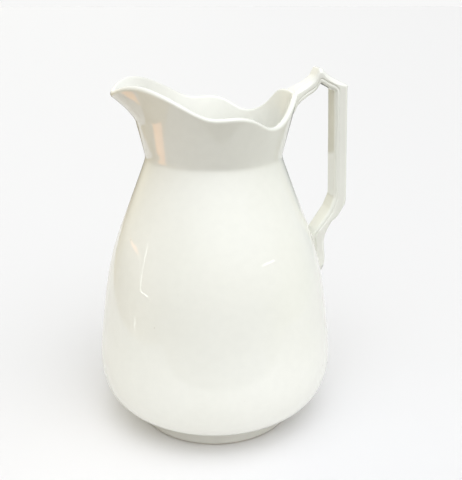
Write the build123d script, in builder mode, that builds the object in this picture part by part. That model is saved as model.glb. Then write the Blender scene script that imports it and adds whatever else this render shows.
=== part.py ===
from build123d import *
from math import cos, degrees, exp, pi, sin
import os

os.makedirs("parts", exist_ok=True)

# A large ironstone water jug: a pear-shaped belly on a turned foot, a flared collar with a
# waved rim and a pouring lip, and an angular strap handle. Millimetres, +Z up. The origin is
# on the body's axis at the bottom of the foot; the lip points along -X, the handle along +X.

# ---- Driving dimensions ----------------------------------------------------------------
wall = 5.0                  # fired thickness of the belly and the collar

foot_radius = 66.5          # outside of the foot ring where it stands
foot_width = 8.0            # width of the ring that touches the table
foot_rounding = 2.0
foot_draft = 0.8            # how much the foot narrows towards the belly

floor_radius = 54.0         # the floor's disc, inside the foot ring
floor_height = 8.5          # underside of the floor above the table

belly_radius = 96.5         # widest place of the belly
shoulder_height = 112.0     # the belly's wall is two solids, which meet at this height
neck_radius = 53.2          # the crease between the belly and the collar
neck_height = 222.0

rim_height = 260.3          # level stretch of the rim, on both sides
rim_radius = 64.1           # mean radius of the collar at that level
rim_oval = 2.0              # the collar is this much wider across than from lip to handle
lip_reach = 82.0            # tip of the pouring lip, from the axis
lip_height = 273.0
lip_angle = 23.0            # degrees, half-width of the pouring lip seen from above
lip_start = 250.0           # height where the lip starts to lean out

handle_width = 21.0         # the strap, measured across
root_width = 27.5           # the strap where it leaves the rim
root_end = 78.0             # from here outwards the strap keeps its width
grip_inner = 95.6           # the grip's face towards the belly, half-way up
grip_thickness = 10.6
grip_lean = 1.9             # how far the grip leans out from its middle to each end
grip_top = 271.0
grip_bottom = 182.0
peak_height = 288.0         # the point on top of the handle
peak_radius = 81.8          # where it stands, from the axis
peak_width = 2.6            # flat on top of the point
outer_chamfer = 2.0
tail_top = 158.0            # the pointed tail that runs down the belly from the handle
tail_bend = 133.0           # from here down the tail is a narrow ridge
tail_bend_width = 6.4
tail_bottom = 118.5
tail_tip = 2.6              # width of the tail's lower end
slip_thickness = 1.2        # clay slip that glues the handle to the body
slip_margin = 2.0           # how far the slip shows around the handle's ends
slip_bottom = 249.0         # lower edge of the slip between the handle and the collar

# ---- Worked-out places -----------------------------------------------------------------
grip_outer = grip_inner + grip_thickness
collar_top = peak_height - 2.0                 # the collar is lofted up to here, then cut
collar_climb = rim_height - neck_height
lip_climb = lip_height - lip_start
half_width = handle_width / 2


def collar_radius(angle, height, grow):
    """Radius of the collar at an angle from the handle (radians) and a height."""
    climb = (height - neck_height) / collar_climb
    body = neck_radius + climb * (rim_radius - rim_oval * cos(2 * angle) - neck_radius)
    climb_at_tip = (lip_height - neck_height) / collar_climb
    body_at_tip = neck_radius + climb_at_tip * (rim_radius - rim_oval - neck_radius)
    lean = (max(0.0, height - lip_start) / lip_climb) ** 1.5
    nose = exp(-((degrees(pi - angle) / lip_angle) ** 2))
    return body + (lip_reach - body_at_tip) * lean * nose + grow


def collar_loft(grow, bottom, top):
    """Solid inside the collar's outer surface, grown outwards, between two heights."""
    rounds = 36
    levels = 9
    with BuildPart() as lofted:
        for level in range(levels):
            height = bottom + (top - bottom) * level / (levels - 1)
            angles = [2 * pi * step / rounds for step in range(rounds)]
            radii = [collar_radius(angle, height, grow) for angle in angles]
            ring = [(r * cos(angle), r * sin(angle)) for angle, r in zip(angles, radii)]
            with BuildSketch(Plane.XY.offset(height)):
                with BuildLine():
                    Spline(*ring, periodic=True)
                make_face()
        loft()
    return lofted.part


def belly_curve(grow):
    """Outside of the belly in the XZ plane, from the edge of the floor up to the crease."""
    outline = [
        (floor_radius, floor_height),
        (0.755 * belly_radius, 15),
        (0.915 * belly_radius, 25),
        (0.991 * belly_radius, 41),
        (0.983 * belly_radius, 80),
        (0.862 * belly_radius, 144),
        (0.716 * belly_radius, 182),
        (neck_radius, neck_height),
    ]
    return Spline(
        *[(radius + grow, height) for radius, height in outline],
        tangents=[(1, 0.25), (-0.37, 1)],
    )


def belly_turned(grow):
    """The belly as a solid turned body, grown outwards."""
    with BuildPart() as turned:
        with BuildSketch(Plane.XZ):
            with BuildLine():
                side = belly_curve(grow)
                Polyline(side @ 1, (0, neck_height), (0, floor_height), side @ 0)
            make_face()
        revolve(axis=Axis.Z)
    return turned.part


# ---- Belly -----------------------------------------------------------------------------
belly_body = belly_turned(0)
belly_and_slip = belly_turned(slip_thickness)
outside = belly_curve(0)
wall_steps = [step / 12 for step in range(13)]
inward = [(outside % step).rotate(Axis.Z, 90) * wall for step in wall_steps]
with BuildPart() as belly_room:
    with BuildSketch(Plane.XZ):
        with BuildLine():
            # The same curve, one wall thickness inside
            inside = Spline(*[outside @ step + move for step, move in zip(wall_steps, inward)])
            Polyline(
                inside @ 1,
                (neck_radius - wall, neck_height),
                (neck_radius - wall, neck_height + wall),
                (0, neck_height + wall),
                (0, floor_height + wall),
                inside @ 0,
            )
        make_face()
    revolve(axis=Axis.Z)

with BuildPart() as base_floor:
    with BuildSketch(Plane.XY.offset(floor_height)):
        Circle(floor_radius)
    extrude(amount=wall)
base_floor.part.label = "base_floor"

with BuildPart() as whole_wall:
    add(belly_body)
    add(belly_room.part, mode=Mode.SUBTRACT)
    with BuildSketch(Plane.XY.offset(floor_height)):
        Circle(floor_radius)
    extrude(amount=2 * wall, mode=Mode.SUBTRACT)

with BuildPart() as belly_wall:
    add(whole_wall.part)
    split(bisect_by=Plane.XY.offset(shoulder_height), keep=Keep.BOTTOM)
belly_wall.part.label = "belly_wall"

with BuildPart() as shoulder_wall:
    add(whole_wall.part)
    split(bisect_by=Plane.XY.offset(shoulder_height), keep=Keep.TOP)
shoulder_wall.part.label = "shoulder_wall"

# ---- Foot ring -------------------------------------------------------------------------
foot_top = floor_height + wall
with BuildPart() as foot_ring:
    with BuildSketch(Plane.XZ):
        with BuildLine():
            Polyline(
                (foot_radius - foot_width, 0),
                (foot_radius, 0),
                (foot_radius - foot_draft, foot_top),
                (foot_radius - foot_width - foot_draft, foot_top),
                close=True,
            )
        make_face()
    revolve(axis=Axis.Z)
    fillet(foot_ring.faces().sort_by(Axis.Z)[0].edges(), radius=foot_rounding)
    add(belly_body, mode=Mode.SUBTRACT)
foot_ring.part.label = "foot_ring"

# ---- Collar with its pouring lip and waved rim -----------------------------------------
cut_reach = 150.0
with BuildPart() as above_rim:
    with BuildSketch(Plane.XZ):
        with BuildLine():
            # The rim seen from the side: lip, level stretch, dip, and rise to the handle
            rim_line = Spline(
                (-cut_reach, 200),
                (-lip_reach, lip_height),
                (-66, rim_height + 19.5),
                (-49, rim_height + 16.5),
                (-27, rim_height + 6),
                (-12, rim_height),
                (9, rim_height),
                (22, rim_height - 3.5),
                (36, rim_height - 10),
                (43, rim_height - 9.2),
                (49.5, rim_height - 5.2),
                (54.5, rim_height + 0.5),
                (58.5, rim_height + 6.2),
                (61.5, rim_height + 9.4),
                (66, rim_height + 10.4),
                (cut_reach, rim_height + 12),
            )
            roof = peak_height + wall
            Polyline(rim_line @ 1, (cut_reach, roof), (-cut_reach, roof), rim_line @ 0)
        make_face()
    extrude(amount=cut_reach, both=True)

collar_body = collar_loft(0, neck_height, collar_top)
collar_and_slip = collar_loft(slip_thickness, neck_height, collar_top)
collar_inside = collar_loft(-wall, neck_height - 1, collar_top + 1)
with BuildPart() as collar:
    add(collar_body)
    add(collar_inside, mode=Mode.SUBTRACT)
    add(above_rim.part, mode=Mode.SUBTRACT)
collar.part.label = "collar"

# ---- Handle ----------------------------------------------------------------------------
peak_left = peak_radius - peak_width / 2
peak_right = peak_radius + peak_width / 2
apex = (peak_radius + 0.8, peak_height - 11)
arm_start = (50, 266)       # both ends of the upper arm lie inside the collar
arm_end = (45, 250)
back_corners = 4            # corners of the back above the tail


def arm_top_curve():
    """Top of the upper arm in the XZ plane, rising to the peak in a hollow curve."""
    return Spline(
        arm_start,
        (69, 275.6),
        (77.3, 281),
        (peak_left, peak_height),
        tangents=[(1, 0.3), (0.25, 1)],
    )


def arm_under_curve():
    """Underside of the upper arm in the XZ plane, from the apex of the opening."""
    return Spline(apex, (78, 270.6), (65.5, 263), (58, arm_end[1]))


with BuildPart() as root:
    with BuildSketch(Plane.XZ):
        with BuildLine():
            under = arm_under_curve()
            Polyline(under @ 1, arm_end, arm_start)
            arm_top_curve()
            Line((peak_left, peak_height), apex)
        make_face()
    extrude(amount=root_width / 2, both=True)
    # Seen from above, the strap widens towards the rim in two hollow curves
    with BuildSketch(Plane.XY.offset(neck_height)):
        for side in (-1, 1):
            with BuildLine():
                Spline(
                    (rim_radius - rim_oval, side * root_width / 2),
                    (root_end, side * half_width),
                    tangents=[(1, -side), (1, 0)],
                )
                Polyline(
                    (root_end, side * half_width),
                    (grip_outer, side * half_width),
                    (grip_outer, side * root_width),
                    (rim_radius - rim_oval, side * root_width),
                    (rim_radius - rim_oval, side * root_width / 2),
                )
            make_face()
    extrude(amount=peak_height, mode=Mode.SUBTRACT)

with BuildPart() as handle:
    with BuildSketch(Plane.XZ):
        with BuildLine():
            arm_top = arm_top_curve()
            Line(arm_top @ 1, (peak_right, peak_height))
            brow = Spline(
                (peak_right, peak_height),
                (89, 282.5),
                (grip_outer - grip_lean + 0.4, grip_top + 3.5),
                tangents=[(0.6, -1), (1, -0.2)],
            )
            back = Polyline(
                brow @ 1,
                (grip_outer - grip_lean, grip_top),
                (grip_outer + grip_lean, grip_bottom - 3),
                (101.3, 167.5),
                (96.7, 163.3),
                (92.4, 153),
                (92, 147),
                (92.8, 140),
                (94.3, tail_bend - 4),
                (94.3, tail_bottom + 5),
                (92.8, tail_bottom),
            )
            Polyline(
                back @ 1,
                (75, tail_bottom),
                (70, 150),
                (84, 157),
                (88, 164),
                (92, 172),
                (grip_inner + grip_lean, grip_bottom + 2.5),
                (grip_inner - grip_lean, grip_top - 0.4),
                apex,
            )
            arm_under = arm_under_curve()
            Polyline(arm_under @ 1, arm_end, arm_start)
        make_face()
    extrude(amount=half_width, both=True)
    for stretch in ([brow] + back.edges()[:back_corners], [arm_top]):
        sides = handle.faces().filter_by(Axis.Y).edges()
        chosen = [
            edge
            for edge in sides
            if min(line.distance_to(((edge @ 0.5).X, (edge @ 0.5).Z)) for line in stretch) < 0.01
        ]
        chamfer(chosen, length=outer_chamfer)
    # The lower end narrows to a pointed tail that lies on the belly
    with BuildSketch(Plane.YZ.offset(grip_inner / 2)):
        for side in (-1, 1):
            with BuildLine():
                Polyline(
                    (side * half_width, tail_top),
                    (side * tail_bend_width / 2, tail_bend),
                    (side * tail_tip / 2, tail_bottom),
                    (side * tail_tip / 2, tail_bottom - wall),
                    (side * handle_width, tail_bottom - wall),
                    (side * handle_width, tail_top),
                    close=True,
                )
            make_face()
    extrude(amount=grip_outer, mode=Mode.SUBTRACT)
    add(root.part)
    add(belly_and_slip, mode=Mode.SUBTRACT)
    add(collar_and_slip, mode=Mode.SUBTRACT)
handle.part.label = "handle"

# ---- Clay slip between the handle and the body -----------------------------------------
slip_width = half_width + slip_margin
slip_bend = tail_bend_width / 2 + slip_margin
with BuildPart() as upper_slip:
    with BuildSketch(Plane.XY.offset(slip_bottom)):
        with Locations((grip_inner / 2, 0)):
            Rectangle(grip_inner, root_width + 2 * slip_margin)
    extrude(amount=peak_height - slip_bottom)
    add(collar_and_slip, mode=Mode.INTERSECT)
    add(collar_body, mode=Mode.SUBTRACT)
    add(above_rim.part, mode=Mode.SUBTRACT)
upper_slip.part.label = "upper_slip"

with BuildPart() as lower_slip:
    with BuildSketch(Plane.YZ):
        with BuildLine():
            Polyline(
                (-slip_width, tail_top + 2 * slip_margin),
                (slip_width, tail_top + 2 * slip_margin),
                (slip_width, tail_top),
                (slip_bend, tail_bend),
                (tail_tip, tail_bottom - slip_margin),
                (-tail_tip, tail_bottom - slip_margin),
                (-slip_bend, tail_bend),
                (-slip_width, tail_top),
                close=True,
            )
        make_face()
    extrude(amount=grip_outer)
    add(belly_and_slip, mode=Mode.INTERSECT)
    add(belly_body, mode=Mode.SUBTRACT)
lower_slip.part.label = "lower_slip"

pieces = (
    belly_wall,
    shoulder_wall,
    base_floor,
    foot_ring,
    collar,
    handle,
    upper_slip,
    lower_slip,
)
for piece in pieces:
    export_step(piece.part, f"parts/{piece.part.label}.step")
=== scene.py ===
from math import cos, pi, radians, sin

import bpy
import numpy as np
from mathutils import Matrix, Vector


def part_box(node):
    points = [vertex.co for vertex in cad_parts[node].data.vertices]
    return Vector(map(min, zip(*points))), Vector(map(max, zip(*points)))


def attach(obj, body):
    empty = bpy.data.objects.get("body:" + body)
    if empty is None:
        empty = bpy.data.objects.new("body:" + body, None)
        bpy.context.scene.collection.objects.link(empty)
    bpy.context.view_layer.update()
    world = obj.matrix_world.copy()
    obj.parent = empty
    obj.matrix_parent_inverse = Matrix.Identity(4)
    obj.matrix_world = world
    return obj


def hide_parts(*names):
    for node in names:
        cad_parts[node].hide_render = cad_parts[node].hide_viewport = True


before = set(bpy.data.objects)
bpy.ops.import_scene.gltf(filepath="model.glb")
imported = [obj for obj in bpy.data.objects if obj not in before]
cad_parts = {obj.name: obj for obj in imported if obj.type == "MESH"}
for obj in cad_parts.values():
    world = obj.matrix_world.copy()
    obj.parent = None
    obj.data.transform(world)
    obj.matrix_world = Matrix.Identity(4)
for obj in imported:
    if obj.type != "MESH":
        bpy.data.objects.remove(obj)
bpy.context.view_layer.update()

MM = 0.001

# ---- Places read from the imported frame, in millimetres ---------------------------------
node_box = {name: [np.array(c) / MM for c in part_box(name)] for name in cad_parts}
belly_reach = node_box["belly_wall"][1][1]
crease_height = node_box["collar"][0][2]
lip_tip = -node_box["collar"][0][0]
floor_under = node_box["base_floor"][0][2]
floor_radius = node_box["base_floor"][1][0]
wall = node_box["base_floor"][1][2] - floor_under
foot_outer = node_box["foot_ring"][1][0]
foot_top = node_box["foot_ring"][1][2]

# ---- The jug's own shape, in millimetres -----------------------------------------------
belly_nominal = 96.5        # widest radius that the belly's shares are taken of
inside_cad = 0.25           # how far the belly stays inside the CAD box
neck_slope = 0.37           # how much the belly narrows per millimetre where it meets the collar
neck_wall = 0.96 * wall
inner_neck_slope = 0.235    # the same on the inside, where the neck is opened out
crease_radius = 53.2        # outside, where the belly and the collar meet
collar_radius = 64.1        # mean radius at the level stretch of the rim
collar_oval = 2.0           # how far the collar is narrower towards the lip and the handle
level_height = 260.3        # height of that level stretch
lip_angle = 23.0            # half width of the pouring lip, in degrees round the axis
lip_start = 250.0           # height where the lip begins to lean out
lip_height = 273.0          # height where it reaches its tip
lip_bead = 2.25             # radius of the rim's rounded lip
crease_fillet = 1.3         # how softly they meet
swell_rise = 1.9            # soft ridge on the belly where the handle's tail dies out
swell_height = 108.0
swell_spread = 24.0
swell_angle = 0.17
joint_size_upper = 3.2
joint_size_lower = 2.2
tail_shade_place = (94.0, -1.5, 120.6)     # a small spot of painted shade at the end of the tail, for the shadowed gap under its tip
columns = 320
crease_angle = radians(60)


def link(made):
    """Put a new object in the scene, and return it."""
    bpy.context.scene.collection.objects.link(made)
    return made


# ---- Curves ----------------------------------------------------------------------------
def spline(points, start=None, end=None, count=200):
    """Cubic spline through points, with chord-length steps, as an array of count points."""
    points = np.asarray(points, float)
    size = len(points)
    steps = np.linalg.norm(np.diff(points, axis=0), axis=1)
    knots = np.r_[0, np.cumsum(steps)]
    left, right = np.zeros((size, size)), np.zeros(points.shape)
    for i in range(1, size - 1):
        left[i, i - 1 : i + 2] = 1 / steps[i - 1], 2 / steps[i - 1] + 2 / steps[i], 1 / steps[i]
        before = (points[i] - points[i - 1]) / steps[i - 1] ** 2
        after = (points[i + 1] - points[i]) / steps[i] ** 2
        right[i] = 3 * (before + after)
    for i, tangent in ((0, start), (-1, end)):
        if tangent is None:
            j = 1 if i == 0 else -2
            step = steps[i]
            left[i, i], left[i, j] = 2, 1
            right[i] = 3 * (points[j] - points[i]) / step * (1 if i == 0 else -1)
        else:
            left[i, i] = 1
            right[i] = np.array(tangent) / np.linalg.norm(tangent)
    slopes = np.linalg.solve(left, right)
    along = np.linspace(0, knots[-1], count)
    part = np.clip(np.searchsorted(knots, along, side="right") - 1, 0, size - 2)
    s = ((along - knots[part]) / steps[part])[:, None]
    width = steps[part][:, None]
    return (
        (2 * s**3 - 3 * s**2 + 1) * points[part]
        + (s**3 - 2 * s**2 + s) * width * slopes[part]
        + (3 * s**2 - 2 * s**3) * points[part + 1]
        + (s**3 - s**2) * width * slopes[part + 1]
    )


def smooth_max(a, b, width):
    """The larger of two values, rounded off where they are close."""
    return (a + b + np.sqrt((a - b) ** 2 + width**2)) / 2


def belly_points():
    """Outside of the belly from the edge of the floor up to the crease: radius, height."""
    shares = ((0.755, 15), (0.915, 25), (0.991, 41), (0.983, 80), (0.862, 144), (0.716, 182))
    outline = [(floor_radius, floor_under)]
    outline += [(share * belly_nominal, height) for share, height in shares]
    outline += [(crease_radius, crease_height)]
    curve = spline(outline, start=(1, 0.25), end=(-neck_slope, 1), count=260)
    curve[:, 0] *= (belly_reach - inside_cad) / curve[:, 0].max()
    return curve


def collar_out(angle, height):
    """Outer radius of the collar at an angle from the handle and a height."""
    climb = (height - crease_height) / (level_height - crease_height)
    body = crease_radius + climb * (collar_radius - collar_oval * np.cos(2 * angle) - crease_radius)
    climb_tip = (lip_height - crease_height) / (level_height - crease_height)
    body_tip = crease_radius + climb_tip * (collar_radius - collar_oval - crease_radius)
    lean = (np.maximum(0, height - lip_start) / (lip_height - lip_start)) ** 1.5
    nose = np.exp(-((np.degrees(pi - np.abs(angle)) / lip_angle) ** 2))
    return body + (lip_tip - body_tip) * lean * nose


# The rim seen from the side: distance from the axis towards the handle, and height
rim_side = spline(
    [
        (-92, 262),
        (-82, 273),
        (-66, 279.8),
        (-49, 276.8),
        (-27, 266.3),
        (-12, 260.3),
        (9, 260.3),
        (22, 256.8),
        (36, 250.3),
        (43, 251.1),
        (49.5, 255.1),
        (54.5, 260.6),
        (58.3, 266.3),
        (61.4, 269.6),
        (66, 270.6),
    ],
    count=900,
)


def rim_height(angle):
    """Height of the rim at each angle from the handle."""
    height = np.full_like(angle, level_height)
    for _ in range(60):
        across = collar_out(angle, height) * np.cos(angle)
        height += 0.5 * (np.interp(across, rim_side[:, 0], rim_side[:, 1]) - height)
    return height


def lathe_angles():
    """Angles of the columns, from the lip round past the handle and back, in -pi to pi."""
    return np.linspace(-pi, pi, columns, endpoint=False)


# ---- Meshes ----------------------------------------------------------------------------
def make_mesh(name, points, faces):
    """A mesh object from points in millimetres."""
    mesh = bpy.data.meshes.new(name)
    mesh.from_pydata([tuple(p) for p in np.asarray(points) * MM], [], faces)
    mesh.validate()
    mesh.update()
    for face in mesh.polygons:
        face.use_smooth = True
    mesh.set_sharp_from_angle(angle=crease_angle)
    return link(bpy.data.objects.new(name, mesh))


def ring_faces(rows, around, close_rows=False):
    """Quads of a grid of rows that each close on themselves."""
    faces = []
    last = rows if close_rows else rows - 1
    for i in range(last):
        a, b = i * around, (i + 1) % rows * around
        faces += [(a + j, a + (j + 1) % around, b + (j + 1) % around, b + j) for j in range(around)]
    return faces


def closed_lathe(name, rows):
    """A ring-shaped piece: rows of (radius, height) per column, joined last row to first."""
    angles = lathe_angles()
    points = []
    for radius, height in rows:
        radius = np.broadcast_to(radius, angles.shape)
        height = np.broadcast_to(height, angles.shape)
        points.append(np.c_[radius * np.cos(angles), radius * np.sin(angles), height])
    return make_mesh(name, np.vstack(points), ring_faces(len(rows), columns, True))


# ---- Body: belly, collar and foot ------------------------------------------------------
angles = lathe_angles()
outer = belly_points()
direction = np.gradient(outer, axis=0)
direction /= np.linalg.norm(direction, axis=1)[:, None]
inner = outer + wall * np.c_[-direction[:, 1], direction[:, 0]]


def swell(angle, height):
    """The soft ridge on the belly where the handle's tail dies out."""
    level = (height - swell_height) / swell_spread
    return swell_rise * np.exp(-((angle / swell_angle) ** 2) - level**2)


def belly_out(radius, height, angle=angles):
    """Belly's outer radius, rounded off into the collar."""
    plain = smooth_max(radius, collar_out(angle, height), crease_fillet)
    return plain + swell(angle, height)


def slope_of(height):
    """How much the collar widens per millimetre of height, at each column."""
    return (collar_out(angles, height + 0.2) - collar_out(angles, height - 0.2)) / 0.4


def collar_in(height, thickness):
    """Point on the collar's inside that faces the outside at a height: radius, height."""
    slope = slope_of(height)
    length = np.sqrt(1 + slope**2)
    return collar_out(angles, height) - thickness / length, height + thickness * slope / length


belly_rows = [(1.0, floor_under)]
belly_rows += [(r, floor_under) for r in np.linspace(8, floor_radius - 2, 8)]
for radius, height in outer:
    belly_rows.append((belly_out(radius, height), height))
inner_neck = crease_radius - neck_wall
inside = []
for radius, height in inner[::-1]:
    if height < crease_height - 0.8 and height > floor_under + wall + 0.3 and radius > floor_radius:
        inside.append((radius, height))
belly_rows.append((inner_neck + 0.4, crease_height))
for radius, height in inside:
    blended = smooth_max(radius, inner_neck - inner_neck_slope * (crease_height - height), 2.0)
    belly_rows.append((blended, height))
for radius in np.linspace(floor_radius - 1, 1, 12):
    belly_rows.append((radius, floor_under + wall))
belly = closed_lathe("belly", belly_rows)

rim = rim_height(angles)
bead_height = rim - lip_bead
slope = slope_of(bead_height)
tilt = np.sqrt(1 + slope**2)
bead_radius = collar_out(angles, bead_height) - lip_bead * tilt
collar_rows = []
tangent_height = bead_height - lip_bead * slope / tilt
for share in np.r_[np.linspace(0, 0.1, 8), np.linspace(0.1, 1, 46)[1:]]:
    height = crease_height + share * (tangent_height - crease_height)
    belly_line = crease_radius - neck_slope * (height - crease_height)
    collar_rows.append((smooth_max(collar_out(angles, height), belly_line, crease_fillet), height))
for turn in np.linspace(0, 1, 14)[1:-1]:
    swing = turn * pi
    away, up = np.cos(swing), np.sin(swing)
    radius = bead_radius + lip_bead * (away / tilt + up * slope / tilt)
    height = bead_height + lip_bead * (-away * slope / tilt + up / tilt)
    collar_rows.append((radius, height))
for share in np.linspace(1, 0, 46):
    height = crease_height + share * (tangent_height - crease_height)
    thickness = 2 * lip_bead * share + neck_wall * (1 - share)
    radius, height = collar_in(height, thickness)
    height = height - (1 - share) ** 3 * (height - crease_height)
    collar_rows.append((radius, height))
collar = closed_lathe("collar", collar_rows)

foot_side = [
    (foot_outer + 1.1, foot_top + 1.0),
    (foot_outer - 0.2, foot_top - 0.6),
    (foot_outer - 0.35, foot_top - 2.4),
    (foot_outer - 0.1, 4.0),
    (foot_outer - 0.1, 2.2),
    (foot_outer - 0.7, 0.8),
    (foot_outer - 2.2, 0.0),
    (foot_outer - 5.6, 0.0),
    (foot_outer - 7.1, 0.7),
    (foot_outer - 7.8, 2.2),
    (foot_outer - 8.6, floor_under - 1.6),
    (foot_outer - 10.2, floor_under + 0.4),
]
foot_curve = spline(foot_side, count=90)
foot_curve[:, 1] = np.maximum(foot_curve[:, 1], 0)
foot_rows = [tuple(p) for p in foot_curve]
foot_rows += [(foot_outer - 5, floor_under + 3.5), (foot_outer - 1.0, foot_top + 2)]
foot = closed_lathe("foot", foot_rows)


# ---- Handle ----------------------------------------------------------------------------
def rounded(corners, radii, pieces=4):
    """An open run of corners, each rounded by its radius: pieces + 1 points per corner."""
    corners = [np.array(c, float) for c in corners]
    made = [corners[0]]
    for before, corner, after, radius in zip(corners, corners[1:], corners[2:], radii):
        back, onward = before - corner, after - corner
        start = corner + back * min(radius / np.linalg.norm(back), 0.48)
        finish = corner + onward * min(radius / np.linalg.norm(onward), 0.48)
        for step in np.linspace(0, 1, pieces + 1):
            made.append((1 - step) ** 2 * start + 2 * step * (1 - step) * corner + step**2 * finish)
    made.append(corners[-1])
    return np.array(made)


def section(thickness, half, crisp):
    """Cross-section as (across, outwards) points, from the inner face round to the outer.

    Crisp is 1 where the strap has its full bead line and chamfers, and less along the grip.
    """
    narrow = min(1, half / 8)
    soft = 1 - crisp
    chamfer = 1.2 + 1.8 * crisp
    corners = [
        (0, 0),
        (half - (1.5 + 1.4 * soft) * narrow, 0),
        (half - 0.35 * narrow, (0.9 + 1.2 * soft) * narrow),
        (half - 0.35 * narrow * crisp, 2.5 * narrow),
        (half - (0.2 + 0.8 * crisp) * narrow, 3.1 * narrow),
        (half, 4.0 * narrow),
        (half, thickness - chamfer * narrow),
        (half - chamfer * narrow, thickness),
        (0, thickness + 0.15 * narrow),
    ]
    side = rounded(corners, [0.8 * narrow] * 2 + [0.5 * narrow] * 3 + [1.0 * narrow] * 2)
    mirrored = side[1:-1][::-1] * (-1, 1)
    return np.vstack([side, mirrored])


stations = [
    # outer x, outer z, inner x, inner z, half width, crispness, corner rounding
    (60.2, 268.4, 56.3, 250.5, 15.6, 0.6, 0),
    (61.8, 270.7, 60.9, 255.5, 14.6, 0.8, 2),
    (63.8, 272.3, 63.4, 259.8, 13.1, 1.0, 2),
    (66.3, 273.9, 66.9, 263.3, 12.0, 1.0, 2),
    (70.5, 276.1, 71.5, 266.4, 11.1, 1.0, 2),
    (74.5, 278.7, 75.2, 268.5, 10.6, 1.0, 2),
    (77.6, 281.6, 78.2, 270.6, 10.5, 1.0, 2),
    (80.5, 287.7, 82.3, 276.8, 10.5, 1.0, 1.2),
    (83.1, 287.7, 82.9, 276.8, 10.5, 1.0, 1.2),
    (86.0, 284.4, 85.6, 275.1, 10.5, 1.0, 2),
    (90.2, 281.3, 88.8, 273.2, 10.5, 1.0, 2),
    (97.0, 277.9, 92.2, 271.6, 10.5, 0.9, 2),
    (104.5, 274.5, 93.6, 270.6, 10.5, 0.6, 1.0),
    (104.2, 270.6, 93.8, 269.2, 10.5, 0.4, 1.0),
    (104.4, 264.0, 94.1, 262.0, 10.5, 0.25, 2.0),
    (107.8, 185.0, 97.2, 189.0, 10.5, 0.25, 2.0),
    (107.9, 179.5, 97.3, 184.6, 10.5, 0.5, 2.5),
    (102.2, 168.5, 93.6, 174.4, 10.5, 0.8, 2.5),
    (96.8, 163.3, 88.0, 165.5, 10.5, 1.0, 2.2),
    (94.0, 157.6, 82.0, 156.5, 10.1, 1.0, 2.2),
    (92.6, 152.4, 79.6, 151.0, 8.6, 1.0, 2.2),
    (92.0, 147.0, 81.2, 146.6, 7.1, 1.0, 2),
    (92.8, 140.0, 83.2, 140.0, 5.0, 1.0, 2),
    (94.1, 131.5, 85.2, 131.5, 3.1, 1.0, 2),
    (94.1, 124.0, 86.4, 124.0, 2.1, 1.0, 2),
    (92.2, 119.2, 86.4, 120.0, 1.5, 1.0, 1.2),
    (86.0, 116.0, 84.4, 118.0, 1.0, 1.0, 0),
]


def handle_rows():
    """Cross-sections along the handle, as an array of rows of points."""
    table = np.array(stations)
    run = rounded(table[:, :6], table[1:-1, 6], pieces=5)
    rows = []
    for out_x, out_z, in_x, in_z, half, crisp in run:
        outward = np.array((out_x - in_x, out_z - in_z))
        thickness = np.linalg.norm(outward)
        outward /= thickness
        outline = section(thickness, half, crisp)
        rows.append([(in_x + t * outward[0], y, in_z + t * outward[1]) for y, t in outline])
    return np.array(rows)


grid = handle_rows()
around = grid.shape[1]
handle_faces = ring_faces(len(grid), around)
handle_faces.append(tuple(range(around))[::-1])
handle_faces.append(tuple(range((len(grid) - 1) * around, len(grid) * around)))
handle = make_mesh("handle", grid.reshape(-1, 3), handle_faces)
weighted = handle.modifiers.new("normals", "WEIGHTED_NORMAL")
weighted.weight = 80


# ---- Joints: the clay that fills the corner between the handle and the body ------------
def wall_out(angle, height):
    """Outer radius of the body at an angle and a height."""
    below = np.interp(height, outer[:, 1], outer[:, 0])
    above = crease_radius - neck_slope * (height - crease_height)
    radius = np.where(height < crease_height, below, above)
    return belly_out(radius, height, angle)


def unit(vectors):
    """Each row of an array as a vector of length 1."""
    return vectors / np.linalg.norm(vectors, axis=1)[:, None]


def joint(name, rails, size):
    """Clay with a hollow face, round the handle's rails where they come out of the wall."""
    steps = np.linspace(0, len(rails) - 1.001, 12 * len(rails))
    low = steps.astype(int)
    share = (steps - low)[:, None, None]
    rails = rails[low] * (1 - share) + rails[low + 1] * share
    x, y, z = np.moveaxis(rails, 2, 0)
    depth = np.hypot(x, y) - wall_out(np.arctan2(y, x), z)
    out = np.argmax(depth > 0, axis=0)
    every = np.arange(rails.shape[1])
    share = depth[out, every] / (depth[out, every] - depth[out - 1, every])
    meet = rails[out, every] + share[:, None] * (rails[out - 1, every] - rails[out, every])
    along_arm = unit(rails[out + 3, every] - meet)
    angle = np.arctan2(meet[:, 1], meet[:, 0])
    z = meet[:, 2]
    lean = wall_out(angle, z + 0.5) - wall_out(angle, z - 0.5)
    outwards = unit(np.c_[np.cos(angle), np.sin(angle), -lean])
    away = unit(np.cross(np.roll(meet, -1, 0) - np.roll(meet, 1, 0), outwards))
    away *= np.sign(np.sum(away * (meet - meet.mean(axis=0)), axis=1))[:, None]
    below_rim = rim_height(angle) - z
    reach = size * np.clip(below_rim / 5, 0.02, 1)[:, None]
    on_arm = meet + reach * along_arm
    on_wall = meet + reach * away
    angle = np.arctan2(on_wall[:, 1], on_wall[:, 0])
    radius = wall_out(angle, on_wall[:, 2])
    on_wall[:, 0], on_wall[:, 1] = radius * np.cos(angle), radius * np.sin(angle)
    rows = [on_arm + 0.1 * reach * unit(on_arm.mean(axis=0) - on_arm)]
    for s in np.linspace(0, 1, 8):
        rows.append((1 - s) ** 2 * on_arm + 2 * s * (1 - s) * meet + s**2 * on_wall)
    rows += [on_wall - 0.2 * reach * outwards, meet - 0.4 * reach * outwards]
    rings = np.stack(rows, axis=1)
    closed = below_rim.min() > 0
    if not closed:
        half_turn = len(rings) // 2
        rings = np.roll(rings, half_turn, axis=0)[np.roll(below_rim, half_turn) > 0.6]
    faces = ring_faces(len(rings), len(rows), closed)
    if not closed:
        faces.append(tuple(range(len(rows)))[::-1])
        faces.append(tuple(range((len(rings) - 1) * len(rows), len(rings) * len(rows))))
    return make_mesh(name, rings.reshape(-1, 3), faces)


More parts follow.
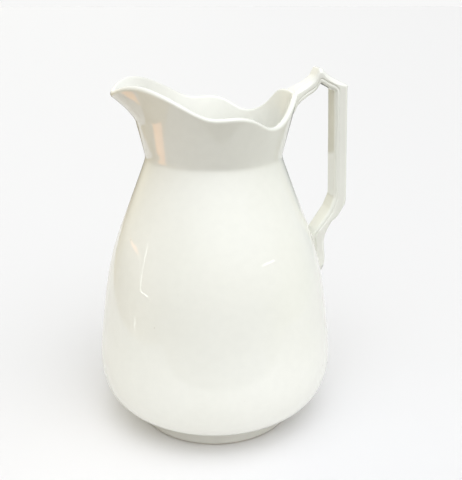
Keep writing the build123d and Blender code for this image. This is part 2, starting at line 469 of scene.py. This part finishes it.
upper_joint = joint("upper_joint", grid, joint_size_upper)
lower_joint = joint("lower_joint", grid[::-1], joint_size_lower)


# ---- Materials -------------------------------------------------------------------------
def new_material(name):
    """A material, its node tree and its shader."""
    made = bpy.data.materials.new(name)
    made.use_nodes = True
    tree = made.node_tree
    return made, tree, tree.nodes["Principled BSDF"]


def noise(tree, place, scale, detail=2.0):
    """Smooth noise from 0 to 1 over the object."""
    node = tree.nodes.new("ShaderNodeTexNoise")
    node.inputs["Scale"].default_value = scale
    node.inputs["Detail"].default_value = detail
    tree.links.new(place, node.inputs["Vector"])
    return node.outputs["Fac"]


def ramp(tree, source, stops):
    """A value turned into a colour, by (position, colour) stops."""
    node = tree.nodes.new("ShaderNodeValToRGB")
    elements = node.color_ramp.elements
    while len(elements) < len(stops):
        elements.new(0.5)
    for element, (position, colour) in zip(elements, stops):
        element.position = position
        element.color = (*colour, 1)
    tree.links.new(source, node.inputs["Fac"])
    return node.outputs["Color"]


def grey(value):
    """A neutral colour."""
    return (value, value, value)


def mix(tree, mode, share, first, second):
    """Two colours mixed by a share: each may be a value or the output of a node."""
    node = tree.nodes.new("ShaderNodeMix")
    node.data_type = "RGBA"
    node.blend_type = mode
    wanted = (("Factor", "VALUE", share), ("A", "RGBA", first), ("B", "RGBA", second))
    for name, kind, value in wanted:
        socket = [i for i in node.inputs if i.name == name and i.type == kind][0]
        if isinstance(value, bpy.types.NodeSocket):
            tree.links.new(value, socket)
        else:
            socket.default_value = value
    return [o for o in node.outputs if o.type == "RGBA"][0]


def band(tree, place, low, high):
    """0 below one height and 1 above another, in millimetres, blended smoothly between."""
    split = tree.nodes.new("ShaderNodeSeparateXYZ")
    tree.links.new(place, split.inputs[0])
    spread = tree.nodes.new("ShaderNodeMapRange")
    spread.interpolation_type = "SMOOTHSTEP"
    tree.links.new(split.outputs["Z"], spread.inputs["Value"])
    spread.inputs["From Min"].default_value = low * MM
    spread.inputs["From Max"].default_value = high * MM
    return spread.outputs["Result"]


def ceramic_material(name, light, dark, roughness):
    """Glazed ironstone: two close tones, faint mottling, pinholes, a spot of painted shade under the
    tail's tip and a gently waved gloss.
    """
    made, tree, shader = new_material(name)
    place = tree.nodes.new("ShaderNodeTexCoord").outputs["Object"]
    tone = ramp(tree, noise(tree, place, 9), [(0.3, dark), (0.7, light)])
    mottled = ramp(tree, noise(tree, place, 160, 3), [(0.35, grey(0.985)), (0.65, grey(1.0))])
    colour = mix(tree, "MULTIPLY", 1.0, tone, mottled)
    specks = tree.nodes.new("ShaderNodeTexVoronoi")
    specks.inputs["Scale"].default_value = 95
    tree.links.new(place, specks.inputs["Vector"])
    spot = ramp(tree, specks.outputs["Distance"], [(0.035, grey(1.0)), (0.06, grey(0.0))])
    rare = ramp(tree, noise(tree, place, 24, 1), [(0.60, grey(0.0)), (0.66, grey(1.0))])
    pinhole = mix(tree, "MULTIPLY", 1.0, spot, rare)
    colour = mix(tree, "MIX", pinhole, colour, (0.62, 0.59, 0.50, 1))
    # painted shade: a small dark spot where the gap under the tail's tip lies in shadow
    away = tree.nodes.new("ShaderNodeVectorMath")
    away.operation = "DISTANCE"
    tree.links.new(place, away.inputs[0])
    away.inputs[1].default_value = [c * MM for c in tail_shade_place]
    painted_tail_shade = ramp(tree, away.outputs["Value"], [(0.0009, grey(1.0)), (0.0018, grey(0.0))])
    colour = mix(tree, "MIX", painted_tail_shade, colour, (0.36, 0.36, 0.34, 1))
    tree.links.new(colour, shader.inputs["Base Color"])
    gloss = [(0.3, grey(roughness)), (0.75, grey(roughness * 2.0))]
    tree.links.new(ramp(tree, noise(tree, place, 30, 3), gloss), shader.inputs["Roughness"])
    waves = tree.nodes.new("ShaderNodeBump")
    waves.inputs["Strength"].default_value = 0.16
    waves.inputs["Distance"].default_value = 0.0006
    tree.links.new(noise(tree, place, 42, 1), waves.inputs["Height"])
    tree.links.new(waves.outputs["Normal"], shader.inputs["Normal"])
    shader.inputs["IOR"].default_value = 1.52
    return made, tree, shader, place


def shaded_foot_material():
    """A greyer glaze, painted darker as shade under the belly's overhang, above a bare, worn ring of
    clay underneath whose dark brown is partly real clay and partly painted contact shadow.
    """
    # the foot's glaze colours are painted darker than the body's, as shade under the belly
    made, tree, shader, place = ceramic_material(
        "foot_glaze_painted_shade", (0.66, 0.65, 0.60), (0.60, 0.585, 0.53), 0.03
    )
    glazed = shader.inputs["Base Color"].links[0].from_socket
    shine = shader.inputs["Roughness"].links[0].from_socket
    edge = band(tree, place, 0.5, 1.6)
    # the bare ring: real unglazed clay, its dark brown also painted contact shadow along the table
    clay_and_contact_shadow_tones = [(0.3, (0.42, 0.34, 0.25)), (0.7, (0.60, 0.53, 0.42))]
    clay = ramp(tree, noise(tree, place, 260, 4), clay_and_contact_shadow_tones)
    tree.links.new(mix(tree, "MIX", edge, clay, glazed), shader.inputs["Base Color"])
    tree.links.new(mix(tree, "MIX", edge, grey(0.85) + (1,), shine), shader.inputs["Roughness"])
    return made


glaze = ceramic_material("ironstone_glaze", (0.895, 0.895, 0.84), (0.86, 0.857, 0.79), 0.014)[0]
pieces = (
    (belly, glaze, "glaze", ("belly_wall", "shoulder_wall", "base_floor")),
    (collar, glaze, "glaze", ("collar",)),
    (foot, shaded_foot_material(), "foot", ("foot_ring",)),
    (handle, glaze, "glaze", ("handle",)),
    (upper_joint, glaze, "glaze", ("upper_slip",)),
    (lower_joint, glaze, "glaze", ("lower_slip",)),
)
for piece, material, slot, nodes in pieces:
    piece.data.materials.append(material)
    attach(piece, "root")
    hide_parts(*nodes)

# ---- Studio ----------------------------------------------------------------------------
def staged_sheet(name, corners, material, seen_by_camera=True, lights_object=True):
    """A flat sheet of the set, in metres."""
    mesh = bpy.data.meshes.new(name)
    mesh.from_pydata(corners, [], [tuple(range(len(corners)))])
    mesh.materials.append(material)
    sheet = link(bpy.data.objects.new(name, mesh))
    sheet.visible_camera = seen_by_camera
    for kind in ("diffuse", "glossy", "transmission", "shadow"):
        setattr(sheet, f"visible_{kind}", lights_object)
    return sheet


paper, _, paper_shader = new_material("paper")
paper_shader.inputs["Base Color"].default_value = (0.785, 0.775, 0.77, 1)
paper_shader.inputs["Roughness"].default_value = 0.7
table_corners = [(-0.42, -0.27, 0), (0.5, -0.29, 0), (0.7, 0.9, 0), (-0.44, 0.9, 0)]
staged_sheet("table", table_corners, paper)
floor_reach = 90.0
floor_drop = 0.0002          # the wide floor lies just under the table, seen by the camera only
sides = ((-1, -1), (1, -1), (1, 1), (-1, 1))
wide = [(x * floor_reach, y * floor_reach, -floor_drop) for x, y in sides]
staged_sheet("floor", wide, paper, lights_object=False)

world = bpy.data.worlds.new("studio")
bpy.context.scene.world = world
world.use_nodes = True
tree = world.node_tree
where = tree.nodes.new("ShaderNodeTexCoord").outputs["Generated"]


def world_node(kind, operation, *values):
    """A maths node of the world, its inputs linked or set, and its first output."""
    node = tree.nodes.new(kind)
    node.operation = operation
    for socket, value in zip(node.inputs, values):
        if isinstance(value, bpy.types.NodeSocket):
            tree.links.new(value, socket)
        else:
            socket.default_value = value
    return node


room_lights = [
    # azimuth and elevation in degrees, sharpness, colour
    (240, 52, 6, (0.86, 0.89, 0.92)),
    (300, 52, 6, (1.22, 1.28, 1.40)),
    (0, 18, 8, (0.22, 0.20, 0.22)),
    (90, 18, 8, (1.14, 1.15, 1.06)),
    (135, 18, 8, (0.70, 0.66, 0.50)),
    (180, 18, 8, (0.38, 0.33, 0.28)),
    (225, 18, 8, (0.26, 0.29, 0.27)),
    (270, 18, 8, (0.40, 0.37, 0.30)),
    (315, 18, 8, (0.42, 0.38, 0.34)),
    (270, 74, 9, (1.62, 1.64, 1.66)),
    (270, 62, 14, (1.15, 1.19, 1.30)),
]
low_lights = [
    (-15, -14, 8, (0.74, 0.76, 0.50)),
    (30, -14, 8, (0.72, 0.78, 0.82)),
    (180, -45, 5, (0.95, 0.70, 0.36)),
    (180, -6, 14, (0.34, 0.34, 0.28)),
    (120, -10, 12, (0.50, 0.43, 0.28)),
]


def toward(azimuth, elevation):
    """Unit vector at an azimuth, counted from +X to +Y, and an elevation, in degrees."""
    turn, rise = radians(azimuth), radians(elevation)
    return (cos(rise) * cos(turn), cos(rise) * sin(turn), sin(rise))


def soft_glow(lights):
    """Light from round patches of the room, each strongest where it is aimed from."""
    glow = (0, 0, 0)
    for azimuth, elevation, sharpness, colour in lights:
        aim = toward(azimuth, elevation)
        facing = world_node("ShaderNodeVectorMath", "DOT_PRODUCT", where, aim).outputs["Value"]
        fall = world_node("ShaderNodeMath", "MULTIPLY_ADD", facing, sharpness, -sharpness)
        lobe = world_node("ShaderNodeMath", "EXPONENT", fall.outputs[0])
        tinted = world_node("ShaderNodeVectorMath", "SCALE", colour)
        tree.links.new(lobe.outputs[0], tinted.inputs["Scale"])
        glow = world_node("ShaderNodeVectorMath", "ADD", tinted.outputs[0], glow).outputs[0]
    return glow


# The room's light fades out just below the horizon, and the camera sees a plain backdrop
height = world_node("ShaderNodeVectorMath", "DOT_PRODUCT", where, (0, 0, 1)).outputs["Value"]
horizon = tree.nodes.new("ShaderNodeMapRange")
horizon.interpolation_type = "SMOOTHSTEP"
tree.links.new(height, horizon.inputs["Value"])
horizon.inputs["From Min"].default_value = -0.12
horizon.inputs["From Max"].default_value = 0.04
upper = world_node("ShaderNodeVectorMath", "SCALE", soft_glow(room_lights))
tree.links.new(horizon.outputs["Result"], upper.inputs["Scale"])
glow = world_node("ShaderNodeVectorMath", "ADD", upper.outputs[0], soft_glow(low_lights)).outputs[0]
background = tree.nodes["Background"]
tree.links.new(glow, background.inputs["Color"])
plain = tree.nodes.new("ShaderNodeBackground")
plain.inputs["Color"].default_value = (0.94, 0.94, 0.935, 1)
path = tree.nodes.new("ShaderNodeLightPath")
blend = tree.nodes.new("ShaderNodeMixShader")
tree.links.new(path.outputs["Is Camera Ray"], blend.inputs[0])
tree.links.new(background.outputs[0], blend.inputs[1])
tree.links.new(plain.outputs[0], blend.inputs[2])
tree.links.new(blend.outputs[0], tree.nodes["World Output"].inputs["Surface"])

glint_distance = 3.0
glint_colour = (6.0, 6.0, 5.6)


def glowing(name, colour):
    """A card's material that only gives light."""
    made, _, shader = new_material(name)
    shader.inputs["Base Color"].default_value = (0, 0, 0, 1)
    shader.inputs["Emission Color"].default_value = (*colour, 1)
    shader.inputs["Emission Strength"].default_value = 1
    return made


def unseen_card(name, corners, colour):
    """A card of light that shows only as a reflection in the glaze."""
    card = staged_sheet(name, corners, glowing(name, colour), seen_by_camera=False)
    card.visible_diffuse = card.visible_shadow = False


def glint(name, start, ends, width):
    """A thin strip of light seen as a line in the glaze, from one direction to another.

    Start is the mirroring place in millimetres, ends are (azimuth, elevation) in degrees.
    """
    start = np.array(start) * MM
    first, last = (start + glint_distance * np.array(toward(*end)) for end in ends)
    side = np.cross(last - first, first)
    side *= width / 2 / np.linalg.norm(side)
    corners = [tuple(p) for p in (first - side, last - side, last + side, first + side)]
    unseen_card(name, corners, glint_colour)


glint("strip_left", (-64, -56, 135), ((176, 12), (179, -3)), 0.040)
glint("strip_left_foot", (-59, -63, 132), ((179, -3), (190, -3)), 0.036)
glint("strip_left_low", (-70, -60, 107), ((175, -12), (176, -15)), 0.032)
glint("strip_right", (28, -74, 155), ((-45, 13), (-28, 11)), 0.026)
warm_corners = [
    (-0.189, 0.036, 0.170),
    (-0.182, -0.022, 0.170),
    (-0.130, -0.015, 0.170),
    (-0.150, 0.031, 0.170),
]
unseen_card("warm_card", warm_corners, (3.2, 1.5, 0.6))

# ---- Camera ----------------------------------------------------------------------------
look_down = 19.07           # degrees below level
look_right = 10.16          # degrees right of the +Y axis
camera_data = bpy.data.cameras.new("camera")
camera = link(bpy.data.objects.new("camera", camera_data))
bpy.context.scene.camera = camera
camera.location = (-0.08021, -0.52384, 0.33415)
camera.rotation_euler = (radians(90 - look_down), 0, radians(-look_right))
camera_data.sensor_width = 36
camera_data.lens = 51.26
camera_data.clip_start = 0.01

bpy.context.scene.view_settings.view_transform = "Standard"
